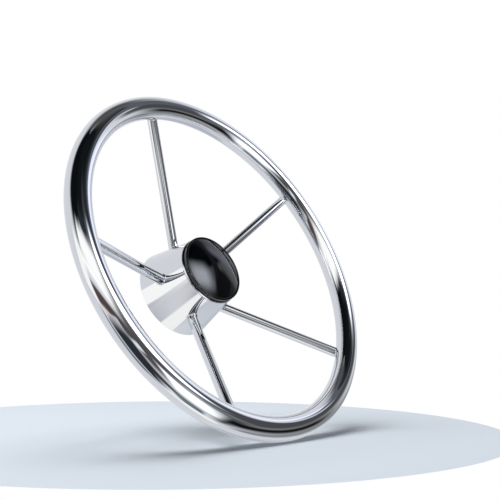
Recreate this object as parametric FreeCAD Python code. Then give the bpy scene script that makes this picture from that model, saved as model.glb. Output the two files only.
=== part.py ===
import FreeCAD, Part
import math
import os

# Five spoked stainless steering wheel for a boat, in millimetres.
# The shaft's axis is Y, the driver's side is -Y and one spoke stands straight up along +Z.
# The origin is on the shaft's axis, in the rear face of the hub boss.
# "forward" below is a distance from that face towards the driver, along -Y.

# Rim
rim_outer_d = 343.0
rim_tube_d = 21.3
rim_tube_wall = 1.5
rim_forward = 78.0

# Spokes
spoke_count = 5
spoke_d = 9.5
spoke_dish_deg = 23.4
spoke_rim_setback = 3.7
rim_weld_fillet = 1.2
hub_weld_fillet = 1.2

# Hub shell, a cone of sheet with its front edge rolled into a bead
shell_rear_d = 88.0
shell_neck_d = 66.8
bead_proud = 0.5
shell_wall = 1.5
shell_overhang = 2.0
shell_length = 50.6
shell_rear_edge_r = 0.5
lip_bead_d = 2.6

# Hub boss, bored 1 in 12 for the helm shaft
boss_d = 38.0
boss_spigot_d = 34.0
boss_shoulder_forward = 24.0
boss_length = 32.0
boss_chamfer = 1.0
taper_mouth_d = 19.05
taper_length = 26.0
taper_ratio = 12.0
keyway_width = 4.76
keyway_depth = 2.4

# Plate that carries the boss in the shell
plate_thickness = 3.0
plate_flange_length = 11.0
plate_bend_r = 3.0

# Fittings on the shaft's thread
washer_d = 33.0
washer_bore_d = 17.0
washer_thickness = 2.0
washer_edge = 0.4
lock_washer_d = 26.0
lock_washer_bore_d = 16.6
lock_washer_thickness = 4.0
lock_washer_gap = 2.5
lock_washer_split_deg = 30.0
nut_across_flats = 23.8
nut_thickness = 9.5
nut_thread_bore_d = 14.68
nut_bore_chamfer = 0.6
nut_corner_chamfer_deg = 30.0

# Cap
cap_inset = 1.5
cap_side_height = 5.2
cap_side_flare = 0.9
cap_edge_r = 1.0
cap_base_r = 0.4
cap_ring_width = 1.9
cap_step_depth = 0.5
cap_dome_height = 4.6
cap_wall = 2.0
cap_seat_gap = 0.1
plug_length = 8.0
plug_clearance = 0.3
plug_wall = 2.0
seal_cord_d = 1.5
seal_clearance = 0.1
seal_groove_width = 1.9

# Sizes worked out from those above
rim_r = (rim_outer_d - rim_tube_d) / 2
tube_r = rim_tube_d / 2
bead_r = lip_bead_d / 2
bead_outer_r = shell_neck_d / 2 + bead_proud
bead_centre_r = bead_outer_r - bead_r
bead_inner_r = bead_centre_r - bead_r
shell_rear_forward = -shell_overhang
shell_front_forward = shell_rear_forward + shell_length
bead_forward = shell_front_forward - bead_r
cone_rise = (shell_neck_d - shell_rear_d) / 2 / (bead_forward - shell_rear_forward)
wall_across_cone = shell_wall * math.hypot(1, cone_rise)
cap_r = bead_outer_r - cap_inset
cap_seat_forward = shell_front_forward + cap_seat_gap


def cone_r(forward):
    """Outer radius of the shell's cone at a distance forward of the origin."""
    return shell_rear_d / 2 + cone_rise * (forward - shell_rear_forward)


def inner_cone_r(forward):
    """Inner radius of the shell's cone at a distance forward of the origin."""
    return cone_r(forward) - wall_across_cone


def at(radius, forward):
    """Point of a turned outline."""
    return FreeCAD.Vector(radius, -forward, 0)


def arc(start, middle, end):
    """Arc through three points, as an edge."""
    return Part.Arc(start, middle, end).toShape()


def line(start, end):
    """Straight edge."""
    return Part.LineSegment(start, end).toShape()


def rounded(before, corner, after, radius):
    """Start, middle and end of the arc that rounds a corner between two straight runs."""
    back = (before - corner).normalize()
    on = (after - corner).normalize()
    half = math.acos(max(-1.0, min(1.0, back.dot(on)))) / 2
    reach = radius / math.tan(half)
    centre = corner + (back + on).normalize() * (radius / math.sin(half))
    middle = centre + (corner - centre).normalize() * radius
    return corner + back * reach, middle, corner + on * reach


def circle_hit(centre, radius, point, direction):
    """First point where a line from a point, along a direction, meets a circle."""
    along = (centre - point).dot(direction)
    nearest = point + direction * along
    off = (centre - nearest).Length
    return nearest - direction * math.sqrt(radius ** 2 - off ** 2)


def turned(edges):
    """Solid of revolution about the shaft's axis, from the edges of a closed outline."""
    face = Part.Face(Part.Wire(edges))
    return face.revolve(FreeCAD.Vector(0, 0, 0), FreeCAD.Vector(0, 1, 0), 360)


def outline(points):
    """Edges of a closed outline with straight sides."""
    return [line(a, b) for a, b in zip(points, points[1:] + points[:1])]


def about_shaft(shape, turn_deg):
    """Copy of a shape turned about the shaft's axis."""
    copy = shape.copy()
    copy.rotate(FreeCAD.Vector(0, 0, 0), FreeCAD.Vector(0, 1, 0), turn_deg)
    return copy


def ring(radius, cord_r, forward):
    """Torus about the shaft's axis."""
    return Part.makeTorus(radius, cord_r, at(0, forward), FreeCAD.Vector(0, 1, 0))


def washer(outer_d, bore_d, thickness, rear_forward):
    """Flat ring with its edges broken."""
    front = rear_forward + thickness
    outer, inner = outer_d / 2, bore_d / 2
    return turned(outline([
        at(inner, rear_forward),
        at(outer - washer_edge, rear_forward),
        at(outer, rear_forward + washer_edge),
        at(outer, front - washer_edge),
        at(outer - washer_edge, front),
        at(inner, front),
    ]))


def make_rim():
    """Tube bent into a closed ring, its ends butt welded and ground flush."""
    return ring(rim_r, tube_r, rim_forward).cut(ring(rim_r, tube_r - rim_tube_wall, rim_forward))


def make_hub_shell():
    """Cone of sheet, rolled into a bead round the cap's seat."""
    rear = shell_rear_forward
    up_cone = (at(cone_r(bead_forward), bead_forward) - at(cone_r(rear), rear)).normalize()
    bead_centre = at(bead_centre_r, bead_forward)
    outer_rear = at(cone_r(rear), rear)
    inner_rear = at(inner_cone_r(rear), rear)
    outer_neck = circle_hit(bead_centre, bead_r, outer_rear, up_cone)
    inner_neck = circle_hit(bead_centre, bead_r, inner_rear, up_cone)
    crest = at(bead_centre_r, bead_forward + bead_r)
    out_start, out_mid, out_end = rounded(inner_rear, outer_rear, outer_neck, shell_rear_edge_r)
    in_start, in_mid, in_end = rounded(inner_neck, inner_rear, outer_rear, shell_rear_edge_r)
    return turned([
        line(in_end, out_start),
        arc(out_start, out_mid, out_end),
        line(out_end, outer_neck),
        arc(outer_neck, crest, inner_neck),
        line(inner_neck, in_start),
        arc(in_start, in_mid, in_end),
    ])


def shell_core():
    """Solid cone that fills the shell, whose skin is the shell's outer face."""
    return turned(outline([
        at(0, shell_rear_forward),
        at(cone_r(shell_rear_forward), shell_rear_forward),
        at(cone_r(bead_forward), bead_forward),
        at(0, bead_forward),
    ]))


def weld_on(rod, carrier, fillet_r):
    """The rod coped to a carrier's skin, with a polished weld fillet round the joint."""
    joined = carrier.fuse(rod)
    seam = [
        edge for edge in joined.Edges
        if on_skin(edge, carrier) and on_skin(edge, rod)
    ]
    return joined.makeFillet(fillet_r, seam).cut(carrier)


def on_skin(edge, solid):
    """True where the whole of an edge lies on a solid's skin."""
    steps = 4
    first, last = edge.ParameterRange
    for step in range(steps + 1):
        point = Part.Vertex(edge.valueAt(first + (last - first) * step / steps))
        nearest = min(point.distToShape(face)[0] for face in solid.Faces)
        if nearest > 1e-4:
            return False
    return True


def make_spoke():
    """The rod that stands straight up, from the hub shell's skin to the rim tube's skin."""
    dish = math.radians(spoke_dish_deg)
    outward = FreeCAD.Vector(0, -math.sin(dish), math.cos(dish))
    rim_end_forward = rim_forward - spoke_rim_setback
    rim_end = FreeCAD.Vector(0, -rim_end_forward, rim_r)
    to_skin = (rim_r - cone_r(rim_end_forward)) / (math.cos(dish) - cone_rise * math.sin(dish))
    # The rod starts one diameter inside the cone and ends on the tube's centreline
    length = to_skin + spoke_d
    rod = Part.makeCylinder(spoke_d / 2, length, rim_end - outward * length, outward)
    tube = ring(rim_r, tube_r, rim_forward)
    return weld_on(weld_on(rod, shell_core(), hub_weld_fillet), tube, rim_weld_fillet)


def make_hub_plate():
    """Pressed plate with a flange that lies against the inside of the shell."""
    rear = boss_shoulder_forward
    front = rear + plate_thickness
    flange_rear = front - plate_flange_length
    flange_in = plate_thickness * math.hypot(1, cone_rise)
    outer_front = at(inner_cone_r(front), front)
    outer_rear = at(inner_cone_r(flange_rear), flange_rear)
    inner_rear = at(inner_cone_r(flange_rear) - flange_in, flange_rear)
    inner_corner = at(inner_cone_r(rear) - flange_in, rear)
    hole_front = at(boss_spigot_d / 2, front)
    hole_rear = at(boss_spigot_d / 2, rear)
    bend = plate_bend_r + plate_thickness
    o_start, o_mid, o_end = rounded(outer_rear, outer_front, hole_front, bend)
    i_start, i_mid, i_end = rounded(inner_rear, inner_corner, hole_rear, plate_bend_r)
    return turned([
        line(hole_rear, hole_front),
        line(hole_front, o_end),
        arc(o_end, o_mid, o_start),
        line(o_start, outer_rear),
        line(outer_rear, inner_rear),
        line(inner_rear, i_start),
        arc(i_start, i_mid, i_end),
        line(i_end, hole_rear),
    ])


def make_hub_boss():
    """Turned boss with a 1 in 12 bore, a keyway and a spigot through the plate."""
    small_r = (taper_mouth_d - taper_length / taper_ratio) / 2
    outer = boss_d / 2
    spigot = boss_spigot_d / 2
    body = turned(outline([
        at(taper_mouth_d / 2, 0),
        at(outer - boss_chamfer, 0),
        at(outer, boss_chamfer),
        at(outer, boss_shoulder_forward),
        at(spigot, boss_shoulder_forward),
        at(spigot, boss_length - boss_chamfer),
        at(spigot - boss_chamfer, boss_length),
        at(small_r, boss_length),
        at(small_r, taper_length),
    ]))
    slot = Part.makeBox(
        keyway_width,
        boss_length,
        taper_mouth_d / 2 + keyway_depth,
        FreeCAD.Vector(-keyway_width / 2, -boss_length, 0),
    )
    return body.cut(slot)


def make_lock_washer(rear_forward):
    """Spring washer with a slanting split."""
    body = washer(lock_washer_d, lock_washer_bore_d, lock_washer_thickness, rear_forward)
    middle_forward = rear_forward + lock_washer_thickness / 2
    depth = lock_washer_thickness * 2
    blade = Part.makeBox(
        lock_washer_gap,
        depth,
        lock_washer_d,
        FreeCAD.Vector(-lock_washer_gap / 2, -middle_forward - depth / 2, 0),
    )
    blade.rotate(at(0, middle_forward), FreeCAD.Vector(0, 0, 1), lock_washer_split_deg)
    return body.cut(blade)


def make_nut(rear_forward):
    """Hexagon nut with its corners turned off and its bore countersunk."""
    corner_r = nut_across_flats / 2 / math.cos(math.radians(30))
    flat_r = nut_across_flats / 2
    corners = [
        FreeCAD.Vector(
            corner_r * math.sin(math.radians(60 * side)),
            -rear_forward,
            corner_r * math.cos(math.radians(60 * side)),
        )
        for side in range(6)
    ]
    hexagon = Part.Face(Part.Wire(outline(corners)))
    prism = hexagon.extrude(FreeCAD.Vector(0, -nut_thickness, 0))
    front = rear_forward + nut_thickness
    bore_r = nut_thread_bore_d / 2
    drop = (corner_r - flat_r) * math.tan(math.radians(nut_corner_chamfer_deg))
    blank = turned(outline([
        at(bore_r + nut_bore_chamfer, rear_forward),
        at(flat_r, rear_forward),
        at(corner_r, rear_forward + drop),
        at(corner_r, front - drop),
        at(flat_r, front),
        at(bore_r + nut_bore_chamfer, front),
        at(bore_r, front - nut_bore_chamfer),
        at(bore_r, rear_forward + nut_bore_chamfer),
    ]))
    return prism.common(blank)


def dome_points(sphere_r, centre_forward, rim_radius):
    """Rim, middle and crown of a dome cut from a sphere about the shaft's axis."""
    whole = math.asin(rim_radius / sphere_r)
    return [
        at(sphere_r * math.sin(angle), centre_forward + sphere_r * math.cos(angle))
        for angle in (whole, whole / 2, 0)
    ]


def make_cap():
    """Moulded cap: a dome, a stepped ring, a side and a plug with a seal groove."""
    seat = cap_seat_forward
    shoulder = seat + cap_side_height
    step = shoulder - cap_step_depth
    top_r = cap_r + cap_side_flare
    ring_inner_r = top_r - cap_ring_width
    dome_r = ring_inner_r - cap_step_depth
    plug_r = bead_inner_r - plug_clearance
    plug_inner_r = plug_r - plug_wall
    plug_end = seat - plug_length
    groove_r = bead_inner_r - seal_clearance - seal_cord_d
    groove_front = bead_forward + seal_groove_width / 2
    groove_rear = bead_forward - seal_groove_width / 2

    sphere_r = (dome_r ** 2 + cap_dome_height ** 2) / (2 * cap_dome_height)
    sphere_forward = step + cap_dome_height - sphere_r
    dome_rim, dome_middle, crown = dome_points(sphere_r, sphere_forward, dome_r)
    ceiling_rim, ceiling_middle, ceiling_crown = dome_points(
        sphere_r - cap_wall, sphere_forward, plug_inner_r
    )

    under_seat = at(plug_r, seat)
    base = at(cap_r, seat)
    edge = at(top_r, shoulder)
    ring_inner = at(ring_inner_r, shoulder)
    base_start, base_middle, base_end = rounded(under_seat, base, edge, cap_base_r)
    edge_start, edge_middle, edge_end = rounded(base, edge, ring_inner, cap_edge_r)
    return turned([
        line(at(plug_inner_r, plug_end), at(plug_r, plug_end)),
        line(at(plug_r, plug_end), at(plug_r, groove_rear)),
        line(at(plug_r, groove_rear), at(groove_r, groove_rear)),
        line(at(groove_r, groove_rear), at(groove_r, groove_front)),
        line(at(groove_r, groove_front), at(plug_r, groove_front)),
        line(at(plug_r, groove_front), under_seat),
        line(under_seat, base_start),
        arc(base_start, base_middle, base_end),
        line(base_end, edge_start),
        arc(edge_start, edge_middle, edge_end),
        line(edge_end, ring_inner),
        line(ring_inner, dome_rim),
        arc(dome_rim, dome_middle, crown),
        line(crown, ceiling_crown),
        arc(ceiling_crown, ceiling_middle, ceiling_rim),
        line(ceiling_rim, at(plug_inner_r, plug_end)),
    ])


def make_cap_seal():
    """Rubber ring in the plug's groove, which grips the bead's inner edge."""
    seal_r = bead_inner_r - seal_clearance - seal_cord_d / 2
    return ring(seal_r, seal_cord_d / 2, bead_forward)


def make_parts():
    """Every piece in its place, by name."""
    washer_forward = boss_length
    lock_washer_forward = washer_forward + washer_thickness
    nut_forward = lock_washer_forward + lock_washer_thickness
    pieces = {
        "rim": make_rim(),
        "hub_shell": make_hub_shell(),
        "hub_plate": make_hub_plate(),
        "hub_boss": make_hub_boss(),
        "flat_washer": washer(washer_d, washer_bore_d, washer_thickness, washer_forward),
        "lock_washer": make_lock_washer(lock_washer_forward),
        "shaft_nut": make_nut(nut_forward),
        "cap": make_cap(),
        "cap_seal": make_cap_seal(),
    }
    spoke = make_spoke()
    for index in range(spoke_count):
        pieces[f"spoke_{index + 1}"] = about_shaft(spoke, 360 * index / spoke_count)
    return pieces


os.makedirs("parts", exist_ok=True)
for name, shape in make_parts().items():
    shape.exportStep(os.path.join("parts", name + ".step"))
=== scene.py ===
"""Five spoked stainless steering wheel for a boat: the looks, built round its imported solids.

Lengths are in metres. Angles are in degrees where they are constants, fields or places in the
studio, and in radians where a method works them out. The shaft's axis is Y, the driver's side is
-Y and one spoke stands straight up along +Z. "Forward" is a distance from the hub boss's rear
face towards the driver, along -Y.
"""

from __future__ import annotations

import logging
import math
from dataclasses import dataclass
from enum import Enum
from typing import Any

import bmesh
import bpy
from mathutils import Matrix, Vector

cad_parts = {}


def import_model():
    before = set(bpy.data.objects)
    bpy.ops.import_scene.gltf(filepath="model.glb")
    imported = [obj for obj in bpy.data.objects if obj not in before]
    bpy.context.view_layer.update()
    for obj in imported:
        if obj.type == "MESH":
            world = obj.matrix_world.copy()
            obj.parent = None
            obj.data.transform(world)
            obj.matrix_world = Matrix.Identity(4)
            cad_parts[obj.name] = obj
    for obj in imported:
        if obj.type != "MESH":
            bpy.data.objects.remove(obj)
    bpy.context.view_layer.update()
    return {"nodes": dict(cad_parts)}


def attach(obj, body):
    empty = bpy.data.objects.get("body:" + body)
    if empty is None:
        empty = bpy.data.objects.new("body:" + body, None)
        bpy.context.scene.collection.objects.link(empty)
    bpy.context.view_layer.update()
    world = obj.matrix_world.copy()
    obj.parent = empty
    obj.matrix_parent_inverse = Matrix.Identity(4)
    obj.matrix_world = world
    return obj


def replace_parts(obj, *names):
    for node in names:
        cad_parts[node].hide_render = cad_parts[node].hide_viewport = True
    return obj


log = logging.getLogger("steering_wheel")

MILLIMETRE = 0.001
SHAFT_AXIS = Vector((0, 1, 0))
SHARP_ANGLE = 25.0

# Most values of a noise pattern lie between these two.
NOISE_LOW = 0.3
NOISE_HIGH = 0.7

Colour = tuple[float, float, float, float]
ScreenColour = tuple[float, float, float]
WHITE: Colour = (1.0, 1.0, 1.0, 1.0)


def mm(value: float) -> float:
    """Length in metres of a value in millimetres."""
    return value * MILLIMETRE


def linear(colour: ScreenColour, strength: float = 1.0) -> Colour:
    """Scene colour of a colour as it shows on a screen.

    Args:
        colour: Red, green and blue from 0 to 255.
        strength: Factor on the result, above 1 for a bright panel.

    Returns:
        Linear red, green, blue and an alpha of 1.
    """
    # The numbers are those of the standard curve of screens, which is straight near black.
    channels = []
    for channel in colour:
        share = channel / 255
        low = share / 12.92
        high = ((share + 0.055) / 1.055) ** 2.4
        channels.append((low if share <= 0.04045 else high) * strength)
    return (*channels, 1.0)


class NodeSheet:
    """Adds nodes to a tree and joins them, so that a finish reads from its top down."""

    def __init__(self, tree: bpy.types.NodeTree) -> None:
        """Starts on an empty tree.

        Args:
            tree: Node tree of a material, a world or a group.
        """
        self.tree = tree
        self.tree.nodes.clear()

    def add(self, kind: str, inputs: dict[Any, Any] | None = None, **settings: Any) -> bpy.types.Node:
        """Adds one node.

        Args:
            kind: Blender's name of the node type.
            inputs: Values or sockets for the node's inputs, by name or number.
            **settings: Properties of the node.

        Returns:
            The new node.
        """
        node = self.tree.nodes.new(kind)
        for name, value in settings.items():
            setattr(node, name, value)
        for name, value in (inputs or {}).items():
            if isinstance(value, bpy.types.NodeSocket):
                self.tree.links.new(value, node.inputs[name])
            else:
                node.inputs[name].default_value = value
        return node

    def point(self) -> bpy.types.NodeSocket:
        """Place of a point of the surface, on Object coordinates."""
        return self.add("ShaderNodeTexCoord").outputs["Object"]

    def math(self, operation: str, *values: Any) -> bpy.types.NodeSocket:
        """Result of a Math node on one, two or three values or sockets."""
        return self.add("ShaderNodeMath", dict(enumerate(values)), operation=operation).outputs[0]

    def mix(self, share: Any, first: Any, second: Any) -> bpy.types.NodeSocket:
        """Colour between two colours, where a share of 0 is the first."""
        sockets = {0: share, 6: first, 7: second}
        return self.add("ShaderNodeMix", sockets, data_type="RGBA").outputs[2]

    def noise(self, place: Any, scale: float, detail: float) -> bpy.types.NodeSocket:
        """Value of a noise pattern, about 0.5."""
        inputs = {"Vector": place, "Scale": scale, "Detail": detail}
        return self.add("ShaderNodeTexNoise", inputs).outputs[0]

    def bump(self, height: Any, depth: float) -> bpy.types.NodeSocket:
        """Normal of a surface that a pattern raises by up to a depth."""
        inputs = {"Strength": 1.0, "Distance": depth, "Height": height}
        return self.add("ShaderNodeBump", inputs).outputs[0]

    def spread(self, noise: Any, low: float, high: float, soft: bool = False) -> bpy.types.NodeSocket:
        """Spreads the usual values of a noise pattern over a new range, clamped at its ends.

        Args:
            noise: Socket with the pattern's value.
            low: Result where the pattern is low.
            high: Result where the pattern is high.
            soft: Whether the result levels off gently towards both ends.

        Returns:
            Socket of the result.
        """
        inputs = {
            "Value": noise,
            "From Min": NOISE_LOW,
            "From Max": NOISE_HIGH,
            "To Min": low,
            "To Max": high,
        }
        kind = "SMOOTHSTEP" if soft else "LINEAR"
        return self.add("ShaderNodeMapRange", inputs, interpolation_type=kind).outputs[0]


@dataclass(frozen=True)
class ShaftPlace:
    """Where a point of a piece lies about the shaft, as sockets of a node sheet."""

    radius: bpy.types.NodeSocket
    along: bpy.types.NodeSocket
    turn: bpy.types.NodeSocket
    point: bpy.types.NodeSocket

    @classmethod
    def of(cls, sheet: NodeSheet) -> ShaftPlace:
        """Adds the nodes that measure a point's place about the shaft.

        Args:
            sheet: Node sheet of the material.

        Returns:
            The place's sockets.
        """
        point = sheet.point()
        split = sheet.add("ShaderNodeSeparateXYZ", {"Vector": point}).outputs
        x, y, z = split["X"], split["Y"], split["Z"]
        squares = sheet.math("ADD", sheet.math("MULTIPLY", x, x), sheet.math("MULTIPLY", z, z))
        radius = sheet.math("SQRT", squares)
        return cls(radius=radius, along=y, turn=sheet.math("ARCTAN2", x, z), point=point)


def empty_material(name: str) -> tuple[bpy.types.Material, NodeSheet]:
    """Makes a material that has no nodes yet.

    Args:
        name: Name of the material.

    Returns:
        The material and its node sheet.
    """
    made = bpy.data.materials.new(name)
    made.use_nodes = True
    return made, NodeSheet(made.node_tree)


@dataclass(frozen=True)
class Finish:
    """A finish of the wheel: its name, and the surface that each kind of finish adds."""

    name: str

    def surface(self, sheet: NodeSheet) -> dict[str, Any]:
        """Adds the finish's patterns.

        Args:
            sheet: Node sheet of the material.

        Returns:
            Values and sockets for the shader's inputs, by name.
        """
        raise NotImplementedError

    def material(self) -> bpy.types.Material:
        """Builds the node material.

        Returns:
            The new material.
        """
        made, sheet = empty_material(self.name)
        shader = sheet.add("ShaderNodeBsdfPrincipled", self.surface(sheet))
        sheet.add("ShaderNodeOutputMaterial", {"Surface": shader.outputs[0]})
        return made


class Grain(Enum):
    """Which way the marks of a finish run."""

    ROUND_SHAFT = "round the shaft"
    ALONG_ROD = "along a spoke's rod"


@dataclass(frozen=True)
class MirrorSteel(Finish):
    """Stainless steel polished to a mirror, with the last fine marks of the mop.

    Marks round the shaft have their full length at ring_radius, which is near the rim.
    """

    grain: Grain = Grain.ROUND_SHAFT
    rod_turn: float = 0.0
    rod_dish: float = 0.0
    colour: Colour = (0.70, 0.715, 0.745, 1.0)
    mark_width: float = mm(0.22)
    mark_length: float = mm(9.0)
    mark_depth: float = mm(0.0001)
    mark_roughness: float = 0.01
    ring_radius: float = mm(160)
    smudge_size: float = mm(35.0)
    smudge_roughness: tuple[float, float] = (0.012, 0.028)

    def marks(self, sheet: NodeSheet) -> bpy.types.NodeSocket:
        """Adds the nodes that measure a place in polishing marks.

        Args:
            sheet: Node sheet of the material.

        Returns:
            Vector in which one unit is a mark's width across it, and its length along it.
        """
        if self.grain is Grain.ALONG_ROD:
            turn = (0, math.radians(-self.rod_turn), 0)
            tilt = (math.radians(-self.rod_dish), 0, 0)
            stretch = (1 / self.mark_width, 1 / self.mark_width, 1 / self.mark_length)
            upright = sheet.add("ShaderNodeMapping", {"Vector": sheet.point(), "Rotation": turn})
            straight = sheet.add("ShaderNodeMapping", {"Vector": upright.outputs[0], "Rotation": tilt})
            inputs = {0: straight.outputs[0], 1: stretch}
            return sheet.add("ShaderNodeVectorMath", inputs, operation="MULTIPLY").outputs[0]
        place = ShaftPlace.of(sheet)
        across = sheet.math("DIVIDE", place.radius, self.mark_width)
        along = sheet.math("DIVIDE", place.along, self.mark_width)
        arc = sheet.math("MULTIPLY", place.turn, self.ring_radius)
        length = sheet.math("DIVIDE", arc, self.mark_length)
        return sheet.add("ShaderNodeCombineXYZ", {"X": across, "Y": along, "Z": length}).outputs[0]

    def surface(self, sheet: NodeSheet) -> dict[str, Any]:
        """Adds the polishing marks, and faint smudges in the polish.

        Args:
            sheet: Node sheet of the material.

        Returns:
            Values and sockets for the shader's inputs, by name.
        """
        marks = sheet.noise(self.marks(sheet), 1.0, detail=2.0)
        smudge = sheet.noise(sheet.point(), 1 / self.smudge_size, detail=4.0)
        fine = sheet.spread(marks, 0.0, self.mark_roughness)
        cloud = sheet.spread(smudge, *self.smudge_roughness, soft=True)
        return {
            "Base Color": self.colour,
            "Metallic": 1.0,
            "Roughness": sheet.math("ADD", fine, cloud),
            "Normal": sheet.bump(marks, self.mark_depth),
        }


@dataclass(frozen=True)
class TurnedSteel(Finish):
    """Steel as it comes off a lathe, with fine rings about the shaft and darker patches."""

    colour: Colour = (0.52, 0.525, 0.53, 1.0)
    patch_size: float = mm(6)
    patch_shade: float = 0.8
    ring_width: float = mm(0.18)
    ring_depth: float = mm(0.004)
    roughness: float = 0.28
    smoother_by: float = 0.06
    rougher_by: float = 0.08

    def surface(self, sheet: NodeSheet) -> dict[str, Any]:
        """Adds the rings and the patches.

        Args:
            sheet: Node sheet of the material.

        Returns:
            Values and sockets for the shader's inputs, by name.
        """
        place = ShaftPlace.of(sheet)
        across = sheet.math("DIVIDE", place.radius, self.ring_width)
        along = sheet.math("DIVIDE", place.along, self.ring_width)
        in_rings = sheet.add("ShaderNodeCombineXYZ", {"X": across, "Y": along}).outputs[0]
        rings = sheet.noise(in_rings, 1.0, detail=2.0)
        patch = sheet.noise(place.point, 1 / self.patch_size, detail=3.0)
        darker = (*(channel * self.patch_shade for channel in self.colour[:3]), 1.0)
        low = self.roughness - self.smoother_by
        high = self.roughness + self.rougher_by
        return {
            "Base Color": sheet.mix(sheet.spread(patch, 0.0, 1.0), self.colour, darker),
            "Metallic": 1.0,
            "Roughness": sheet.spread(rings, low, high),
            "Normal": sheet.bump(rings, self.ring_depth),
        }


@dataclass(frozen=True)
class GlossBlack(Finish):
    """Black moulding with a high gloss, slightly uneven, and a trace of flow in its skin."""

    colour: Colour = (0.0008, 0.0012, 0.0032, 1.0)
    ior: float = 1.45
    roughness: tuple[float, float] = (0.02, 0.045)
    uneven_size: float = mm(1.2)
    flow_size: float = mm(4.0)
    flow_depth: float = mm(0.0006)

    def surface(self, sheet: NodeSheet) -> dict[str, Any]:
        """Adds the flow in the skin and the unevenness of the gloss.

        Args:
            sheet: Node sheet of the material.

        Returns:
            Values and sockets for the shader's inputs, by name.
        """
        point = sheet.point()
        flow = sheet.noise(point, 1 / self.flow_size, detail=2.0)
        uneven = sheet.noise(point, 1 / self.uneven_size, detail=6.0)
        return {
            "Base Color": self.colour,
            "Roughness": sheet.spread(uneven, *self.roughness),
            "IOR": self.ior,
            "Normal": sheet.bump(flow, self.flow_depth),
        }


@dataclass(frozen=True)
class SealRubber(Finish):
    """Matt black rubber of the cap's seal, with fine pores and a greyer bloom in patches."""

    colour: Colour = (0.018, 0.018, 0.019, 1.0)
    bloom_colour: Colour = (0.035, 0.035, 0.036, 1.0)
    bloom_size: float = mm(9)
    pore_size: float = mm(0.4)
    pore_depth: float = mm(0.02)
    roughness: tuple[float, float] = (0.55, 0.7)

    def surface(self, sheet: NodeSheet) -> dict[str, Any]:
        """Adds the pores and the bloom.

        Args:
            sheet: Node sheet of the material.

        Returns:
            Values and sockets for the shader's inputs, by name.
        """
        point = sheet.point()
        pores = sheet.noise(point, 1 / self.pore_size, detail=3.0)
        bloom = sheet.noise(point, 1 / self.bloom_size, detail=3.0)
        return {
            "Base Color": sheet.mix(sheet.spread(bloom, 0.0, 1.0), self.colour, self.bloom_colour),
            "Roughness": sheet.spread(pores, *self.roughness),
            "Normal": sheet.bump(pores, self.pore_depth),
        }


def on_outline(radius: float, forward: float) -> Vector:
    """Point of an outline in the half plane through the shaft's axis."""
    return Vector((radius, -forward, 0))


def spin_round(mesh: bmesh.types.BMesh, steps: int) -> None:
    """Turns all of a mesh about the shaft's axis, closes it and points its faces outwards.

    Args:
        mesh: Mesh with an outline in the half plane through the shaft's axis.
        steps: Number of faces round the shaft.
    """
    bmesh.ops.spin(
        mesh,
        geom=mesh.verts[:] + mesh.edges[:],
        cent=(0, 0, 0),
        axis=SHAFT_AXIS,
        dvec=(0, 0, 0),
        angle=math.tau,
        steps=steps,
        use_merge=True,
    )
    same_place = mm(0.001)
    bmesh.ops.remove_doubles(mesh, verts=mesh.verts[:], dist=same_place)
    bmesh.ops.recalc_face_normals(mesh, faces=mesh.faces[:])


def link_object(name: str, data: bpy.types.ID) -> bpy.types.Object:
    """Puts a mesh, lamp or camera into the scene, at the origin.

    Args:
        name: Name of the new object.
        data: What the object shows.

    Returns:
        The new object.
    """
    linked = bpy.data.objects.new(name, data)
    bpy.context.scene.collection.objects.link(linked)
    return linked


def finish_piece(mesh: bmesh.types.BMesh, name: str, material: bpy.types.Material) -> bpy.types.Object:
    """Makes an object of a mesh, smooth but for its sharp edges, in one material.

    Args:
        mesh: Mesh in its place in the row frame, which is freed.
        name: Name of the piece.
        material: Material of all its faces.

    Returns:
        The new object, at the origin.
    """
    data = bpy.data.meshes.new(name)
    mesh.to_mesh(data)
    mesh.free()
    data.materials.append(material)
    data.shade_smooth()
    data.set_sharp_from_angle(angle=math.radians(SHARP_ANGLE))
    piece = link_object(name, data)
    flat_runs = piece.modifiers.new("flat runs", "WEIGHTED_NORMAL")
    flat_runs.keep_sharp = True
    log.info("made %s, %d faces", name, len(data.polygons))
    return piece


def dress_node(node: bpy.types.Object, material: bpy.types.Material) -> None:
    """Gives a carried-over solid its material through the slots of its object.

    Args:
        node: Object of the solid.
        material: Material of all its faces.
    """
    for slot in node.material_slots:
        slot.link = "OBJECT"
        slot.material = material
    log.info("dressed %s in %s", node.name, material.name)


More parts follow.
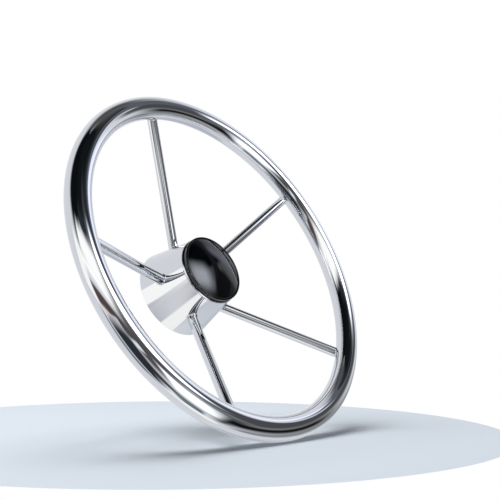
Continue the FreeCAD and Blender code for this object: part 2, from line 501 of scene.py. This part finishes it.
class TurnedOutline:
    """Outline drawn point by point in the half plane through the shaft, then turned about it."""

    def __init__(self, radius: float, forward: float) -> None:
        """Starts the outline at a point.

        Args:
            radius: Radius of the point.
            forward: Forward distance of the point.
        """
        self.mesh = bmesh.new()
        self.first = self.mesh.verts.new(on_outline(radius, forward))
        self.last = self.first
        self.corners: list[tuple[bmesh.types.BMVert, float]] = []

    def line_to(self, radius: float, forward: float, round_by: float = 0.0) -> TurnedOutline:
        """Draws a straight run.

        Args:
            radius: Radius of the run's end.
            forward: Forward distance of the run's end.
            round_by: How far back from the end the corner there is rounded.

        Returns:
            The outline.
        """
        made = bmesh.ops.extrude_vert_indiv(self.mesh, verts=[self.last])
        self.last = made["verts"][0]
        self.last.co = on_outline(radius, forward)
        if round_by:
            self.corners.append((self.last, round_by))
        return self

    def arc_to(self, centre: Vector, turn: float, steps: int) -> TurnedOutline:
        """Draws an arc from the last point.

        Args:
            centre: Centre of the arc.
            turn: Angle of the arc, in radians, from +X towards +Y.
            steps: Number of straight pieces of the arc.

        Returns:
            The outline.
        """
        made = bmesh.ops.spin(
            self.mesh,
            geom=[self.last],
            cent=centre,
            axis=(0, 0, 1),
            dvec=(0, 0, 0),
            angle=turn,
            steps=steps,
        )
        self.last = next(item for item in made["geom_last"] if isinstance(item, bmesh.types.BMVert))
        return self

    def close(self) -> TurnedOutline:
        """Joins the last point to the first."""
        self.mesh.edges.new((self.last, self.first))
        return self

    def turn(self, steps: int, corner_segments: int = 4) -> bmesh.types.BMesh:
        """Rounds the corners and turns the outline about the shaft.

        Args:
            steps: Number of faces round the shaft.
            corner_segments: Number of straight pieces in a rounded corner.

        Returns:
            The closed mesh.
        """
        for corner, offset in self.corners:
            bmesh.ops.bevel(
                self.mesh,
                geom=[corner],
                offset=offset,
                offset_type="OFFSET",
                segments=corner_segments,
                profile=0.5,
                affect="VERTICES",
                material=-1,
            )
        spin_round(self.mesh, steps)
        return self.mesh


@dataclass
class Rim:
    """Tube bent to a ring, its ends butt welded and ground flush."""

    outer_diameter: float = mm(343)
    tube_diameter: float = mm(21.3)
    forward: float = mm(78)
    steps_round_tube: int = 64
    steps_round_ring: int = 360

    def build(self, steel: bpy.types.Material) -> bpy.types.Object:
        """Makes the rim in place of its solid.

        Args:
            steel: Material of the tube.

        Returns:
            The rim's piece.
        """
        tube_radius = self.tube_diameter / 2
        mesh = bmesh.new()
        bmesh.ops.create_circle(mesh, cap_ends=False, segments=self.steps_round_tube, radius=tube_radius)
        centre = on_outline(self.outer_diameter / 2 - tube_radius, self.forward)
        bmesh.ops.translate(mesh, verts=mesh.verts[:], vec=centre)
        spin_round(mesh, self.steps_round_ring)
        piece = finish_piece(mesh, "Rim.Tube", steel)
        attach(piece, "wheel")
        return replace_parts(piece, "rim")


@dataclass
class Spokes:
    """Five round rods, coped and welded between the hub and the rim."""

    count: int = 5
    dish: float = 23.4

    def dress(self, nodes: dict[str, bpy.types.Object]) -> None:
        """Gives each rod a polish whose marks run along it.

        Args:
            nodes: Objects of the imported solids, by name.
        """
        for index in range(self.count):
            steel = MirrorSteel(
                name=f"polished_rod_{index + 1}",
                grain=Grain.ALONG_ROD,
                rod_turn=360 * index / self.count,
                rod_dish=self.dish,
            )
            dress_node(nodes[f"spoke_{index + 1}"], steel.material())


@dataclass
class HubShell:
    """Cone of bright sheet with its front edge rolled to a bead round the cap's seat."""

    rear_diameter: float = mm(88)
    neck_diameter: float = mm(66.8)
    bead_proud: float = mm(0.5)
    wall: float = mm(1.5)
    rear_forward: float = mm(-2)
    length: float = mm(50.6)
    bead_diameter: float = mm(2.6)
    bead_steps: int = 28
    edge_round: float = mm(0.5)
    steps_round_shaft: int = 256

    @property
    def bead_radius(self) -> float:
        """Radius of the bead's own section."""
        return self.bead_diameter / 2

    @property
    def bead_centre(self) -> Vector:
        """Centre of the bead's section on the outline."""
        radius = self.neck_diameter / 2 + self.bead_proud - self.bead_radius
        return on_outline(radius, self.rear_forward + self.length - self.bead_radius)

    @property
    def slope(self) -> float:
        """Growth of the cone's radius for each unit forward, which is negative."""
        run = self.length - self.bead_radius
        return (self.neck_diameter - self.rear_diameter) / 2 / run

    def bead_meets(self, start: Vector) -> Vector:
        """Finds where a wall that slopes as the cone does meets the bead.

        Args:
            start: Point at which the wall starts.

        Returns:
            The point on the bead.
        """
        up_cone = Vector((self.slope, -1, 0)).normalized()
        along = (self.bead_centre - start).dot(up_cone)
        nearest = start + up_cone * along
        off = (self.bead_centre - nearest).length
        return nearest - up_cone * math.sqrt(self.bead_radius**2 - off**2)

    def build(self, steel: bpy.types.Material) -> bpy.types.Object:
        """Makes the shell in place of its solid.

        Args:
            steel: Material of the sheet.

        Returns:
            The shell's piece.
        """
        wall_across = self.wall * math.hypot(1, self.slope)
        outer_rear = on_outline(self.rear_diameter / 2, self.rear_forward)
        inner_rear = on_outline(self.rear_diameter / 2 - wall_across, self.rear_forward)
        outer_neck = self.bead_meets(outer_rear)
        inner_neck = self.bead_meets(inner_rear)
        from_centre = outer_neck - self.bead_centre
        to_centre = inner_neck - self.bead_centre
        start_angle = math.atan2(from_centre.y, from_centre.x)
        end_angle = math.atan2(to_centre.y, to_centre.x)
        turn = (end_angle - start_angle) % -math.tau
        outline = TurnedOutline(outer_neck.x, -outer_neck.y)
        outline.arc_to(self.bead_centre, turn, self.bead_steps)
        outline.line_to(inner_rear.x, -inner_rear.y, round_by=self.edge_round)
        outline.line_to(outer_rear.x, -outer_rear.y, round_by=self.edge_round)
        mesh = outline.close().turn(self.steps_round_shaft)
        piece = finish_piece(mesh, "Hub.Cone", steel)
        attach(piece, "wheel")
        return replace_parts(piece, "hub_shell")


@dataclass
class ShaftFittings:
    """Boss, its plate and what draws the wheel onto the helm shaft.

    The nut's face is a share of its width across flats. Half the thread's root and half its
    crest are shares of the pitch, and its ends lie inside the nut by a share of the countersink.
    """

    nut_across_flats: float = mm(23.8)
    nut_thickness: float = mm(9.5)
    nut_forward: float = mm(38)
    nut_sides: int = 6
    nut_face_share: float = 0.97
    countersink: float = mm(0.3)
    corner_chamfer: float = 30.0
    steps_round_nut: int = 96
    thread_crest_radius: float = mm(7.34)
    thread_root_radius: float = mm(7.95)
    thread_pitch: float = mm(1.411)
    thread_sunk: float = mm(0.05)
    half_root_share: float = 0.46
    half_crest_share: float = 0.08
    thread_end_share: float = 1.2
    thread_steps_a_turn: int = 48

    def dress(self, nodes: dict[str, bpy.types.Object]) -> None:
        """Gives the solids that stay their materials.

        Args:
            nodes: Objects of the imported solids, by name.
        """
        turned = TurnedSteel(name="turned_steel").material()
        pressed = TurnedSteel(
            name="pressed_steel",
            ring_width=mm(0.5),
            ring_depth=mm(0.002),
            roughness=0.33,
        ).material()
        dress_node(nodes["hub_plate"], pressed)
        for name in ("hub_boss", "flat_washer", "lock_washer"):
            dress_node(nodes[name], turned)

    def build_nut(self, steel: bpy.types.Material) -> bpy.types.Object:
        """Makes the hexagon nut by turning a blank and cutting its flats.

        Args:
            steel: Material of the nut.

        Returns:
            The nut's piece.
        """
        half_side = math.radians(180 / self.nut_sides)
        flat_radius = self.nut_across_flats / 2
        face_radius = flat_radius * self.nut_face_share
        corner_radius = flat_radius / math.cos(half_side)
        drop = (corner_radius - flat_radius) * math.tan(math.radians(self.corner_chamfer))
        rear = self.nut_forward
        front = rear + self.nut_thickness
        bore = self.thread_root_radius
        mouth = bore + self.countersink
        outline = TurnedOutline(mouth, rear)
        outline.line_to(face_radius, rear)
        outline.line_to(corner_radius, rear + drop)
        outline.line_to(corner_radius, front - drop)
        outline.line_to(face_radius, front)
        outline.line_to(mouth, front)
        outline.line_to(bore, front - self.countersink)
        outline.line_to(bore, rear + self.countersink)
        mesh = outline.close().turn(self.steps_round_nut)
        for side in range(self.nut_sides):
            turn = math.radians(360 * (side + 0.5) / self.nut_sides)
            away = Vector((math.sin(turn), 0, math.cos(turn)))
            bmesh.ops.bisect_plane(
                mesh,
                geom=mesh.verts[:] + mesh.edges[:] + mesh.faces[:],
                plane_co=away * flat_radius,
                plane_no=away,
                clear_outer=True,
            )
            open_edges = [edge for edge in mesh.edges if edge.is_boundary]
            bmesh.ops.edgeloop_fill(mesh, edges=open_edges)
        bmesh.ops.recalc_face_normals(mesh, faces=mesh.faces[:])
        piece = finish_piece(mesh, "Fittings.Nut", steel)
        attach(piece, "wheel")
        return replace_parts(piece, "shaft_nut")

    def build_thread(self, steel: bpy.types.Material) -> bpy.types.Object:
        """Makes the nut's thread, one ridge wound through its bore.

        Args:
            steel: Material of the thread.

        Returns:
            The thread's piece.
        """
        end_gap = self.countersink * self.thread_end_share
        rear = self.nut_forward + end_gap
        turns = (self.nut_thickness - 2 * end_gap - self.thread_pitch) / self.thread_pitch
        half_root = self.thread_pitch * self.half_root_share
        half_crest = self.thread_pitch * self.half_crest_share
        sunk = self.thread_root_radius + self.thread_sunk
        mesh = bmesh.new()
        corners = [
            mesh.verts.new(on_outline(radius, rear + half_root + away))
            for radius, away in (
                (sunk, -half_root),
                (self.thread_crest_radius, -half_crest),
                (self.thread_crest_radius, half_crest),
                (sunk, half_root),
            )
        ]
        start = mesh.faces.new(corners)
        steps = round(self.thread_steps_a_turn * turns)
        bmesh.ops.spin(
            mesh,
            geom=[start, *start.edges, *start.verts],
            cent=(0, 0, 0),
            axis=SHAFT_AXIS,
            dvec=(0, -self.thread_pitch / self.thread_steps_a_turn, 0),
            angle=math.tau * turns,
            steps=steps,
        )
        bmesh.ops.recalc_face_normals(mesh, faces=mesh.faces[:])
        piece = finish_piece(mesh, "Fittings.NutThread", steel)
        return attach(piece, "wheel")


@dataclass
class Cap:
    """Moulded cap that closes the hub: a low dome in a narrow ring, on a plug with a seal."""

    radius: float = mm(32.4)
    seat_forward: float = mm(48.7)
    side_height: float = mm(5.2)
    side_flare: float = mm(0.9)
    edge_round: float = mm(1.19)
    base_round: float = mm(0.4)
    ring_width: float = mm(1.9)
    ring_round: float = mm(0.15)
    step_depth: float = mm(0.5)
    dome_height: float = mm(4.6)
    wall: float = mm(2.0)
    plug_radius: float = mm(31.0)
    plug_wall: float = mm(2.0)
    plug_length: float = mm(8.0)
    groove_radius: float = mm(29.7)
    groove_forward: float = mm(47.3)
    groove_width: float = mm(1.9)
    steps_round_shaft: int = 256
    dome_steps: int = 40
    ceiling_steps: int = 16

    def build(self, plastic: bpy.types.Material) -> bpy.types.Object:
        """Makes the cap in place of its solid.

        Args:
            plastic: Material of the moulding.

        Returns:
            The cap's piece.
        """
        seat = self.seat_forward
        shoulder = seat + self.side_height
        step = shoulder - self.step_depth
        top_radius = self.radius + self.side_flare
        ring_inner = top_radius - self.ring_width
        dome_radius = ring_inner - self.step_depth
        sphere = (dome_radius**2 + self.dome_height**2) / (2 * self.dome_height)
        sphere_centre = on_outline(0, step + self.dome_height - sphere)
        dome_reach = math.asin(dome_radius / sphere)
        plug_inner = self.plug_radius - self.plug_wall
        plug_end = seat - self.plug_length
        ceiling = sphere - self.wall
        ceiling_reach = math.asin(plug_inner / ceiling)
        ceiling_forward = -sphere_centre.y + ceiling * math.cos(ceiling_reach)
        groove_front = self.groove_forward + self.groove_width / 2
        groove_rear = self.groove_forward - self.groove_width / 2

        outline = TurnedOutline(0, step + self.dome_height)
        outline.arc_to(sphere_centre, dome_reach, self.dome_steps)
        outline.line_to(ring_inner, shoulder, round_by=self.ring_round)
        outline.line_to(top_radius, shoulder, round_by=self.edge_round)
        outline.line_to(self.radius, seat, round_by=self.base_round)
        outline.line_to(self.plug_radius, seat)
        outline.line_to(self.plug_radius, groove_front)
        outline.line_to(self.groove_radius, groove_front)
        outline.line_to(self.groove_radius, groove_rear)
        outline.line_to(self.plug_radius, groove_rear)
        outline.line_to(self.plug_radius, plug_end)
        outline.line_to(plug_inner, plug_end)
        outline.line_to(plug_inner, ceiling_forward)
        outline.arc_to(sphere_centre, -ceiling_reach, self.ceiling_steps)
        mesh = outline.turn(self.steps_round_shaft)
        piece = finish_piece(mesh, "Cap.Moulding", plastic)
        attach(piece, "cap")
        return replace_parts(piece, "cap")


@dataclass(frozen=True)
class StudioPanel:
    """A soft edged panel of the studio, placed by its direction from the wheel.

    Azimuth 0 is away from the camera, 90 to its right and 180 behind it, and elevation is above
    the floor. The panel is a rectangle in azimuth and elevation, turned about its middle. Its
    colour is as it shows on a screen, times the strength.
    """

    name: str
    azimuth: float
    elevation: float
    half_width: float
    half_height: float
    tilt: float
    softness: float
    colour: ScreenColour
    strength: float = 1.0

    @property
    def light(self) -> Colour:
        """Linear colour that the panel sends out."""
        return linear(self.colour, self.strength)

    @property
    def group_inputs(self) -> dict[str, float]:
        """Values of the panel group's own inputs."""
        return {
            "Centre Azimuth": self.azimuth,
            "Centre Elevation": self.elevation,
            "Half Width": self.half_width,
            "Half Height": self.half_height,
            "Tilt Cosine": math.cos(math.radians(self.tilt)),
            "Tilt Sine": math.sin(math.radians(self.tilt)),
            "Softness": self.softness,
        }


@dataclass
class Studio:
    """Plain soft studio: a pale floor, one soft lamp, and the panels that the metal mirrors.

    The wheel leans as it stands on its rim, so the floor's directions are tilted in its frame.
    The panels' places, sizes and colours were fitted to the reflections in the photograph, and
    three were then changed. Each one covers those before it.
    """

    floor_right: Vector = Vector((0.54926205, -0.68759099, -0.47489982))
    floor_away: Vector = Vector((0.78787452, 0.61550867, 0.02007024))
    floor_up: Vector = Vector((0.27850484, -0.38518529, 0.87981097))
    floor_centre: Vector = Vector((-0.01419275, 0.06520178, -0.11363433))
    floor_radius: float = 0.312
    floor_steps: int = 256
    floor_colour: ScreenColour = (213, 221, 230)
    surround_colour: ScreenColour = (240, 242, 245)
    plain_level: float = 0.2
    lamp_azimuth: float = -90.0
    lamp_elevation: float = 80.0
    lamp_distance: float = 1.5
    lamp_size: float = 1.2
    lamp_power: float = 23.4
    # Name, azimuth, elevation, half width, half height, tilt, softness, colour, strength if not 1.
    panels: tuple[StudioPanel, ...] = (
        StudioPanel("grey board low behind", -166, -54, 56, 19, 18, 9, (121, 133, 140)),
        StudioPanel("grey board low right", 64, -32, 45, 11, -44, 23, (143, 145, 149)),
        StudioPanel("pale strip low right ahead", 30.6, -48.0, 51.4, 4.4, -61, 14.7, (218, 223, 230)),
        StudioPanel("white strip low left behind", -140.8, -47.8, 29.7, 5.4, 73, 15.2, (254, 253, 255), 1.47),
        StudioPanel("dark ceiling", 142.3, 75.8, 88.8, 34.1, 4, 4.8, (22, 26, 28)),
        StudioPanel("grey ceiling ahead", -21, 79, 96, 15, -6, 20, (88, 87, 88)),
        StudioPanel("dark ceiling left", -118, 73, 58, 32, 34, 17, (17, 18, 22)),
        StudioPanel("dark ceiling edge", 119.5, 48.7, 67.4, 4.8, 0, 12.7, (50, 55, 62)),
        StudioPanel("grey strip high right", 71.2, 40.6, 4.3, 51.9, 37, 2.5, (101, 104, 111)),
        StudioPanel("grey board right", 85, 11, 27, 10, -29, 7, (138, 140, 142)),
        StudioPanel("dark board low right", 89, -18, 14, 34, 55, 24, (26, 23, 19)),
        StudioPanel("dark grey block right", 82.3, 16.7, 18.3, 8.4, -38, 2.5, (82, 83, 85)),
        StudioPanel("grey block high right", 116.4, 31.5, 23.3, 18.1, 10, 2.5, (81, 89, 97)),
        StudioPanel("white wall behind", -174, -13, 44, 9, -9, 18, (255, 253, 252), 1.04),
        StudioPanel("brown board behind", 179.6, -0.2, 49.0, 6.9, -9, 5.8, (95, 78, 75)),
        StudioPanel("grey board right behind", 140, 7, 33, 17, -40, 23, (90, 87, 89)),
        StudioPanel("pale board low behind", -162.3, -23.1, 28.8, 12.3, -25, 2.5, (224, 226, 229)),
        StudioPanel("white line behind", 168.2, -10.1, 19.1, 2.8, -30, 3.4, (251, 253, 255), 1.04),
        StudioPanel("dark floor behind", -167, -36, 29, 22, -17, 15, (50, 54, 60)),
        StudioPanel("white strip low right", 129, -21, 20, 16, -69, 8, (249, 252, 255), 1.98),
        StudioPanel("black strip low right", 111.8, -33.3, 31.1, 7.1, -77, 22.6, (3, 3, 10)),
        StudioPanel("white band high behind", 160, 33, 59, 9, -5, 11, (255, 254, 250), 1.39),
        StudioPanel("white line behind, higher", -162.8, 15.9, 43.4, 1.5, -6, 19.0, (255, 253, 244), 1.88),
        StudioPanel("grey strip high behind", 127.3, 37.1, 22.8, 6.7, -55, 25.0, (101, 102, 104)),
        StudioPanel("window ahead", 49.7, 33.1, 5.1, 17.6, -34, 9.2, (228, 232, 255), 1.56),
        StudioPanel("window right", 105, 33, 12, 10, 15, 16, (237, 242, 255), 9.2),
        StudioPanel("white board left", -119.2, 1.9, 12.7, 17.4, 18, 2.5, (255, 253, 249), 1.3),
        StudioPanel("white strip underneath", -147.8, -81.4, 43.4, 5.3, -37, 22.5, (252, 255, 255), 1.36),
        StudioPanel("white floor underneath", 45.6, -93.9, 200.0, 10.4, 6, 4.0, (255, 253, 249), 1.23),
        StudioPanel("pale strip low ahead", 1, -33, 26, 17, -79, 8, (204, 208, 216)),
    )

    def direction(self, azimuth: float, elevation: float) -> Vector:
        """Finds a direction from the wheel in the row frame.

        Args:
            azimuth: Azimuth of the direction in the studio.
            elevation: Elevation of the direction above the floor.

        Returns:
            Vector of length 1.
        """
        turn = math.radians(azimuth)
        rise = math.radians(elevation)
        level = self.floor_right * math.sin(turn) + self.floor_away * math.cos(turn)
        return level * math.cos(rise) + self.floor_up * math.sin(rise)

    @staticmethod
    def panel_group() -> bpy.types.NodeTree:
        """Makes the node group that gives how much of a panel shows in a direction.

        Returns:
            A group from a direction's azimuth and elevation, and a panel's sizes, to a share.
        """
        group = bpy.data.node_groups.new("turned panel", "ShaderNodeTree")
        sizes = ("Centre Azimuth", "Centre Elevation", "Half Width", "Half Height")
        for name in ("Azimuth", "Elevation", *sizes, "Tilt Cosine", "Tilt Sine", "Softness"):
            group.interface.new_socket(name, in_out="INPUT", socket_type="NodeSocketFloat")
        group.interface.new_socket("Share", in_out="OUTPUT", socket_type="NodeSocketFloat")
        sheet = NodeSheet(group)
        given = sheet.add("NodeGroupInput").outputs
        turn = sheet.math("SUBTRACT", given["Azimuth"], given["Centre Azimuth"])
        side = sheet.math("WRAP", turn, 180.0, -180.0)
        rise = sheet.math("SUBTRACT", given["Elevation"], given["Centre Elevation"])
        side_part = sheet.math("MULTIPLY", side, given["Tilt Cosine"])
        along = sheet.math("MULTIPLY_ADD", rise, given["Tilt Sine"], side_part)
        rise_part = sheet.math("MULTIPLY", rise, given["Tilt Cosine"])
        across = sheet.math("SUBTRACT", rise_part, sheet.math("MULTIPLY", side, given["Tilt Sine"]))
        half_soft = sheet.math("MULTIPLY", given["Softness"], 0.5)
        minus_soft = sheet.math("MULTIPLY", given["Softness"], -0.5)
        shares = []
        for offset, half in ((along, "Half Width"), (across, "Half Height")):
            inside = sheet.math("SUBTRACT", given[half], sheet.math("ABSOLUTE", offset))
            inputs = {"Value": inside, "From Min": minus_soft, "From Max": half_soft}
            edge = sheet.add("ShaderNodeMapRange", inputs, interpolation_type="SMOOTHSTEP")
            shares.append(edge.outputs[0])
        sheet.add("NodeGroupOutput", {"Share": sheet.math("MULTIPLY", *shares)})
        return group

    def build_world(self) -> bpy.types.World:
        """Makes the surroundings: white to the camera, and the studio's panels to the metal.

        Returns:
            The new world.
        """
        world = bpy.data.worlds.new("studio")
        bpy.context.scene.world = world
        world.use_nodes = True
        sheet = NodeSheet(world.node_tree)
        toward = sheet.add("ShaderNodeTexCoord").outputs["Generated"]

        def along(axis: Vector) -> bpy.types.NodeSocket:
            """Part of the direction along an axis."""
            inputs = {0: toward, 1: axis}
            return sheet.add("ShaderNodeVectorMath", inputs, operation="DOT_PRODUCT").outputs["Value"]

        turn = sheet.math("ARCTAN2", along(self.floor_right), along(self.floor_away))
        azimuth = sheet.math("DEGREES", turn)
        elevation = sheet.math("DEGREES", sheet.math("ARCSINE", along(self.floor_up)))
        group = self.panel_group()
        seen: Any = linear(self.surround_colour)
        for panel in self.panels:
            inputs = {"Azimuth": azimuth, "Elevation": elevation, **panel.group_inputs}
            node = sheet.add("ShaderNodeGroup", inputs, node_tree=group, label=panel.name)
            seen = sheet.mix(node.outputs["Share"], seen, panel.light)
        ray = sheet.add("ShaderNodeLightPath").outputs
        plain = (self.plain_level, self.plain_level, self.plain_level, 1.0)
        mirrored = sheet.mix(ray["Is Glossy Ray"], plain, seen)
        open_view = sheet.math("MAXIMUM", ray["Is Camera Ray"], ray["Is Transmission Ray"])
        shown = sheet.mix(open_view, mirrored, WHITE)
        background = sheet.add("ShaderNodeBackground", {"Color": shown, "Strength": 1.0})
        sheet.add("ShaderNodeOutputWorld", {"Surface": background.outputs[0]})
        log.info("made the studio's surroundings, %d panels", len(self.panels))
        return world

    def floor_paint(self) -> bpy.types.Material:
        """Makes the floor's matt paint, clear when seen from below.

        Returns:
            The new material.
        """
        made, sheet = empty_material("floor_paint")
        paint = sheet.add("ShaderNodeBsdfDiffuse", {"Color": linear(self.floor_colour)}).outputs[0]
        clear = sheet.add("ShaderNodeBsdfTransparent").outputs[0]
        below = sheet.add("ShaderNodeNewGeometry").outputs["Backfacing"]
        both = sheet.add("ShaderNodeMixShader", {0: below, 1: paint, 2: clear})
        sheet.add("ShaderNodeOutputMaterial", {"Surface": both.outputs[0]})
        return made

    def build_floor(self) -> bpy.types.Object:
        """Makes the round pale floor that the rim stands on.

        Returns:
            The floor.
        """
        mesh = bmesh.new()
        bmesh.ops.create_circle(mesh, cap_ends=True, segments=self.floor_steps, radius=self.floor_radius)
        turn = Matrix((self.floor_right, self.floor_away, self.floor_up)).transposed().to_4x4()
        bmesh.ops.transform(mesh, matrix=Matrix.Translation(self.floor_centre) @ turn, verts=mesh.verts[:])
        data = bpy.data.meshes.new("Floor")
        mesh.to_mesh(data)
        mesh.free()
        data.materials.append(self.floor_paint())
        floor = link_object("Floor", data)
        floor.visible_glossy = False
        log.info("made the floor")
        return floor

    def build_lamp(self) -> bpy.types.Object:
        """Makes the soft lamp that throws the wheel's shadow.

        Returns:
            The lamp.
        """
        light = bpy.data.lights.new("Lamp", "AREA")
        light.shape = "DISK"
        light.size = self.lamp_size
        light.energy = self.lamp_power
        lamp = link_object("Lamp", light)
        toward = self.direction(self.lamp_azimuth, self.lamp_elevation)
        lamp.location = self.floor_centre + toward * self.lamp_distance
        lamp.rotation_mode = "QUATERNION"
        lamp.rotation_quaternion = toward.to_track_quat("Z", "Y")
        lamp.visible_glossy = False
        log.info("made the lamp")
        return lamp


@dataclass
class PhotoCamera:
    """Camera at the photograph's viewing angle."""

    position: Vector = Vector((-0.49629726, -0.4342096, -0.09528239))
    right: Vector = Vector((0.5513942, -0.690542, -0.46809843))
    up: Vector = Vector((0.15606496, -0.4658157, 0.87101061))
    forward: Vector = Vector((0.81951697, 0.553324, 0.14907868))
    lens: float = 48.65
    sensor: float = 36.0
    nearest: float = 0.01
    farthest: float = 20.0

    def build(self) -> bpy.types.Object:
        """Makes the camera and gives it to the scene.

        Returns:
            The camera.
        """
        data = bpy.data.cameras.new("Camera")
        data.lens = self.lens
        data.sensor_width = self.sensor
        data.clip_start = self.nearest
        data.clip_end = self.farthest
        camera = link_object("Camera", data)
        turn = Matrix((self.right, self.up, -self.forward)).transposed().to_4x4()
        camera.matrix_world = Matrix.Translation(self.position) @ turn
        bpy.context.scene.camera = camera
        log.info("made the camera")
        return camera


def main() -> None:
    """Builds the wheel's looks, the studio and the camera, in order."""
    logging.basicConfig(level=logging.INFO, format="%(name)s: %(message)s")
    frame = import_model()
    nodes = frame["nodes"]
    bpy.context.scene.view_settings.view_transform = "Standard"

    round_polish = MirrorSteel(name="polished_steel").material()
    lathe_steel = TurnedSteel(name="turned_nut_steel").material()

    Rim().build(round_polish)
    Spokes().dress(nodes)
    HubShell().build(round_polish)
    fittings = ShaftFittings()
    fittings.dress(nodes)
    fittings.build_nut(lathe_steel)
    fittings.build_thread(lathe_steel)
    Cap().build(GlossBlack(name="gloss_black").material())
    dress_node(nodes["cap_seal"], SealRubber(name="seal_rubber_skin").material())

    studio = Studio()
    studio.build_world()
    studio.build_floor()
    studio.build_lamp()
    PhotoCamera().build()


if __name__ == "__main__":
    main()
